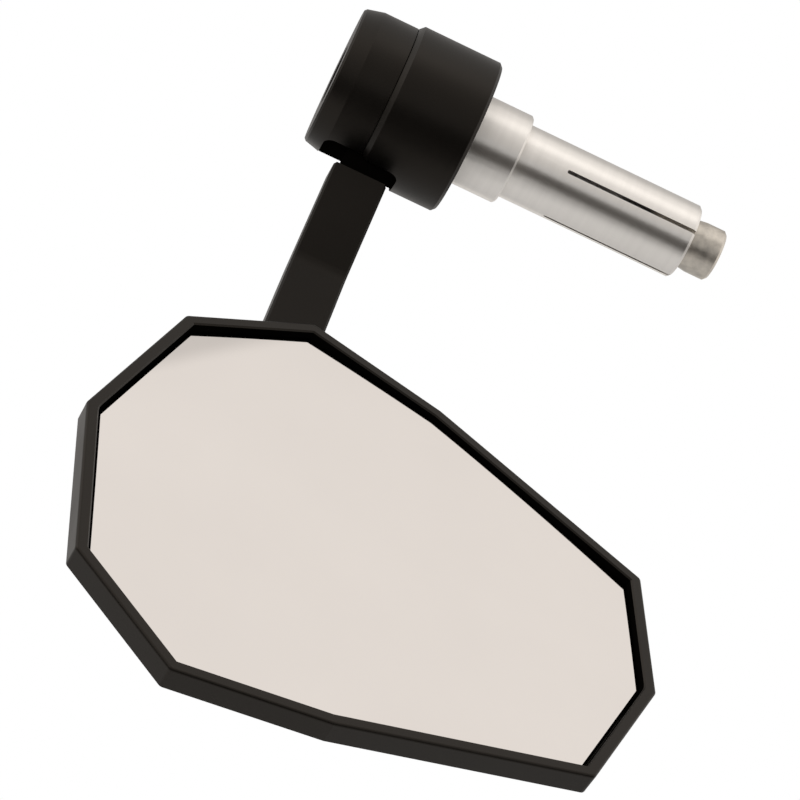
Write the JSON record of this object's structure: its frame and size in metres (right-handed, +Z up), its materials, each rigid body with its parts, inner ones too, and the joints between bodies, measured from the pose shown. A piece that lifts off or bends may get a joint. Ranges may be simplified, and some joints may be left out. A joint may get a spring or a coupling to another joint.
{
  "type": "motorcycle bar end mirror",
  "caption": "Bar end mirror: slotted expanding handlebar insert with wedge, stepped round head, bent flat arm and an angular convex mirror in a raised rim on a ball joint.",
  "frame": {"origin": "on the handlebar axis, in the collar face that butts against the end of the bar", "axes": "+X along the handlebar axis into the bar, -Y the way the mirror faces, +Z up"},
  "size_m": [0.1003, 0.0809, 0.1534],
  "materials": {
    "turned_aluminium": "bright turned aluminium",
    "zinc_steel": "dull zinc plated steel",
    "fastener_steel": "plain stainless steel",
    "black_anodised": "satin black anodised aluminium",
    "liner_plastic": "low friction liner",
    "foam_pad": "adhesive foam pad",
    "silvered_glass": "silvered convex mirror glass"
  },
  "bodies": {
    "insert": {"spacer_collar": "turned_aluminium", "expander_sleeve": "turned_aluminium"},
    "bolt": {"draw_bolt": "fastener_steel", "bolt_washer": "fastener_steel"},
    "wedge": {"wedge_cone": "zinc_steel"},
    "head": {"head_body": "black_anodised", "outer_cap": "black_anodised", "arm": "black_anodised", "ball_stud": "fastener_steel", "stud_washer": "fastener_steel", "stud_nut": "fastener_steel"},
    "front_liner": {"ball_liner_front": "liner_plastic"},
    "rear_liner": {"ball_liner_rear": "liner_plastic"},
    "mirror": {"mirror_housing": "black_anodised", "glass_pad": "foam_pad", "mirror_glass": "silvered_glass", "ball_retainer": "black_anodised", "retainer_screw_1": "fastener_steel", "retainer_screw_2": "fastener_steel", "retainer_screw_3": "fastener_steel"}
  },
  "joints": [
    {"name": "head_swivel", "type": "hinge", "parent": "insert", "child": "head", "pos_m": [0, 0, 0], "axis": [1, 0, 0], "continuous": true},
    {"name": "bolt_turn", "type": "hinge", "parent": "insert", "child": "bolt", "pos_m": [0, 0, 0], "axis": [1, 0, 0], "range_deg": [0, 540]},
    {"name": "wedge_draw", "type": "slide", "parent": "insert", "child": "wedge", "axis": [-1, 0, 0], "range_m": [0, 0.0015]},
    {"name": "mirror_tilt", "type": "hinge", "parent": "head", "child": "front_liner", "pos_m": [-0.025, -0.03564, -0.10345], "axis": [0.999, 0.0291, -0.0336], "range_deg": [-9, 23]},
    {"name": "mirror_pan", "type": "hinge", "parent": "front_liner", "child": "rear_liner", "pos_m": [-0.025, -0.03564, -0.10345], "axis": [0.0166, 0.457, 0.8893], "range_deg": [-16, 12]},
    {"name": "mirror_turn", "type": "hinge", "parent": "rear_liner", "child": "mirror", "pos_m": [-0.025, -0.03564, -0.10345], "axis": [0.0412, -0.889, 0.4561], "range_deg": [-20, 20]}
  ],
  "couplings": [
    {"joint": "wedge_draw", "follows": "bolt_turn", "m_per_rad": 0.00015915}
  ]
}
